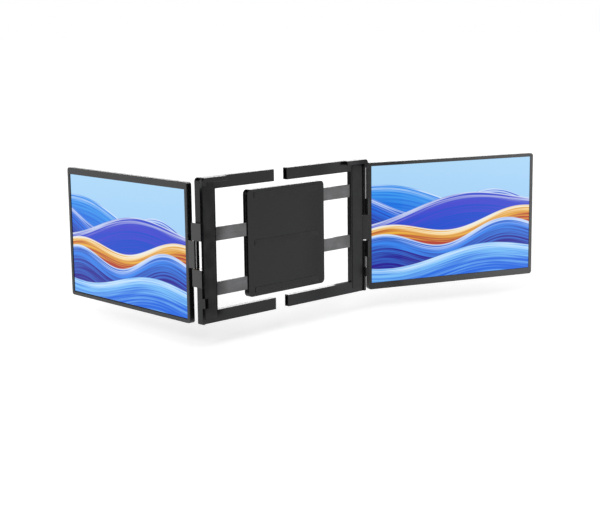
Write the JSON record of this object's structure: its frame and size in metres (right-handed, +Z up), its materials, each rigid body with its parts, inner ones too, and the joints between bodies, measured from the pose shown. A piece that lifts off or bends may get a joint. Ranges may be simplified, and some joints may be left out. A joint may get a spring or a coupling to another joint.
{
  "type": "laptop screen extender",
  "caption": "Two hinged side screens on a sliding frame that clips to the back of a laptop's lid, with corner clamps, a folding stand and side buttons.",
  "frame": {"origin": "middle of the centre pad's face, where the back of a laptop's lid rests, midway between the two halves at rest and midway up the frame", "axes": "+X to the right as the person sits, +Y away from the person, +Z up along the lid"},
  "size_m": [0.5902, 0.3992, 0.192],
  "materials": {
    "frame_black": "fine grained satin black",
    "bezel_black": "satin black",
    "case_black": "fine grained satin black",
    "button_black": "gloss black",
    "pad_rubber": "soft matt rubber",
    "arm_steel": "brushed and clear anodised",
    "hinge_black": "black satin paint on zinc",
    "pin_steel": "ground steel",
    "screw_black": "black oxide",
    "washer_brass": "worn brass",
    "stand_metal": "black anodised",
    "screen_picture": "smooth glass over a lit picture",
    "backlight_white": "white diffuser",
    "support_steel": "plain sheet steel",
    "board_green": "solder mask",
    "socket_steel": "plated steel"
  },
  "bodies": {
    "centre": {"centre_panel": "frame_black", "centre_cover": "frame_black", "panel_pads": "pad_rubber", "panel_screws": "screw_black", "kickstand_pin": "pin_steel"},
    "kickstand": {"kickstand": "stand_metal", "kickstand_foot": "pad_rubber"},
    "left_half": {"left_frame_shell": "frame_black", "left_frame_cover": "frame_black", "left_corner_clamp": "frame_black", "left_clamp_pads": "pad_rubber", "left_slide_arms": "arm_steel", "left_hinge_bracket": "hinge_black", "left_hinge_pin": "pin_steel", "left_hinge_washers": "washer_brass", "left_frame_screws": "screw_black"},
    "right_half": {"right_frame_shell": "frame_black", "right_frame_cover": "frame_black", "right_corner_clamp": "frame_black", "right_clamp_pads": "pad_rubber", "right_slide_arms": "arm_steel", "right_hinge_bracket": "hinge_black", "right_hinge_pin": "pin_steel", "right_hinge_washers": "washer_brass", "right_frame_screws": "screw_black"},
    "left_screen": {"left_rear_case": "case_black", "left_bezel": "bezel_black", "left_lcd_panel": "screen_picture", "left_backlight": "backlight_white", "left_support_plate": "support_steel", "left_driver_board": "board_green", "left_usb_sockets": "socket_steel", "left_knuckle": "hinge_black", "left_knuckle_screws": "screw_black"},
    "right_screen": {"right_rear_case": "case_black", "right_bezel": "bezel_black", "right_lcd_panel": "screen_picture", "right_backlight": "backlight_white", "right_support_plate": "support_steel", "right_driver_board": "board_green", "right_usb_sockets": "socket_steel", "right_knuckle": "hinge_black", "right_knuckle_screws": "screw_black"},
    "left_power_button_body": {"left_power_button": "button_black"},
    "left_plus_button_body": {"left_plus_button": "button_black"},
    "left_minus_button_body": {"left_minus_button": "button_black"},
    "right_power_button_body": {"right_power_button": "button_black"},
    "right_plus_button_body": {"right_plus_button": "button_black"},
    "right_minus_button_body": {"right_minus_button": "button_black"}
  },
  "joints": [
    {"name": "left_slide", "type": "slide", "parent": "centre", "child": "left_half", "axis": [-1, 0, 0], "range_m": [-0.0077, 0.045]},
    {"name": "right_slide", "type": "slide", "parent": "centre", "child": "right_half", "axis": [1, 0, 0], "range_m": [-0.0077, 0.045]},
    {"name": "left_hinge", "type": "hinge", "parent": "left_half", "child": "left_screen", "pos_m": [-0.155, 0.0092, -0.004], "axis": [0, 0, -1], "range_deg": [-138, 17]},
    {"name": "right_hinge", "type": "hinge", "parent": "right_half", "child": "right_screen", "pos_m": [0.155, 0.0092, -0.004], "axis": [0, 0, 1], "range_deg": [-24.5, 130.5]},
    {"name": "kickstand_hinge", "type": "hinge", "parent": "centre", "child": "kickstand", "pos_m": [0, 0.0075, -0.058], "axis": [-1, 0, 0], "range_deg": [0, 138]},
    {"name": "left_power_press", "type": "slide", "parent": "left_screen", "child": "left_power_button_body", "axis": [-0.0523, -0.9986, 0], "range_m": [0, 0.0005], "stiffness_N_per_m": 500},
    {"name": "left_plus_press", "type": "slide", "parent": "left_screen", "child": "left_plus_button_body", "axis": [-0.0523, -0.9986, 0], "range_m": [0, 0.0005], "stiffness_N_per_m": 500},
    {"name": "left_minus_press", "type": "slide", "parent": "left_screen", "child": "left_minus_button_body", "axis": [-0.0523, -0.9986, 0], "range_m": [0, 0.0005], "stiffness_N_per_m": 500},
    {"name": "right_power_press", "type": "slide", "parent": "right_screen", "child": "right_power_button_body", "axis": [-0.9367, 0.3502, 0], "range_m": [0, 0.0005], "stiffness_N_per_m": 500},
    {"name": "right_plus_press", "type": "slide", "parent": "right_screen", "child": "right_plus_button_body", "axis": [-0.9367, 0.3502, 0], "range_m": [0, 0.0005], "stiffness_N_per_m": 500},
    {"name": "right_minus_press", "type": "slide", "parent": "right_screen", "child": "right_minus_button_body", "axis": [-0.9367, 0.3502, 0], "range_m": [0, 0.0005], "stiffness_N_per_m": 500}
  ]
}
